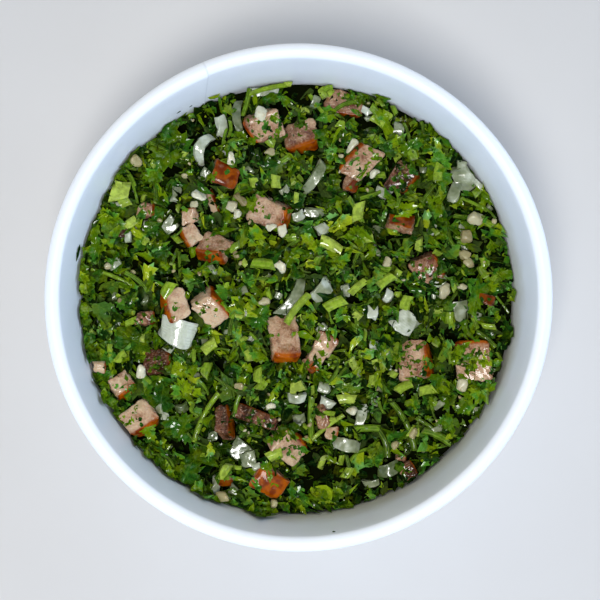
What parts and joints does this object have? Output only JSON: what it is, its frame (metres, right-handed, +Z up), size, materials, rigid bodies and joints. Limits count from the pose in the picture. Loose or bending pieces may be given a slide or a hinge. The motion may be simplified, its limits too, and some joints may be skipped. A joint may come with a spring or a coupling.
{
  "type": "bowl of tabbouleh",
  "caption": "Chopped parsley salad with tomato, onion and bulgur, in a round white paper bowl with a rolled rim.",
  "frame": {"origin": "middle of the bowl's standing ring, at table height", "axes": "+Z up through the bowl's middle, +Y towards the top of the picture"},
  "size_m": [0.15, 0.15, 0.0599],
  "materials": {
    "paper": "white coated board, satin",
    "salad": "chopped parsley, wet with oil and lemon juice"
  },
  "bodies": {
    "root": {"bowl": "paper", "salad": "salad"}
  },
  "joints": []
}
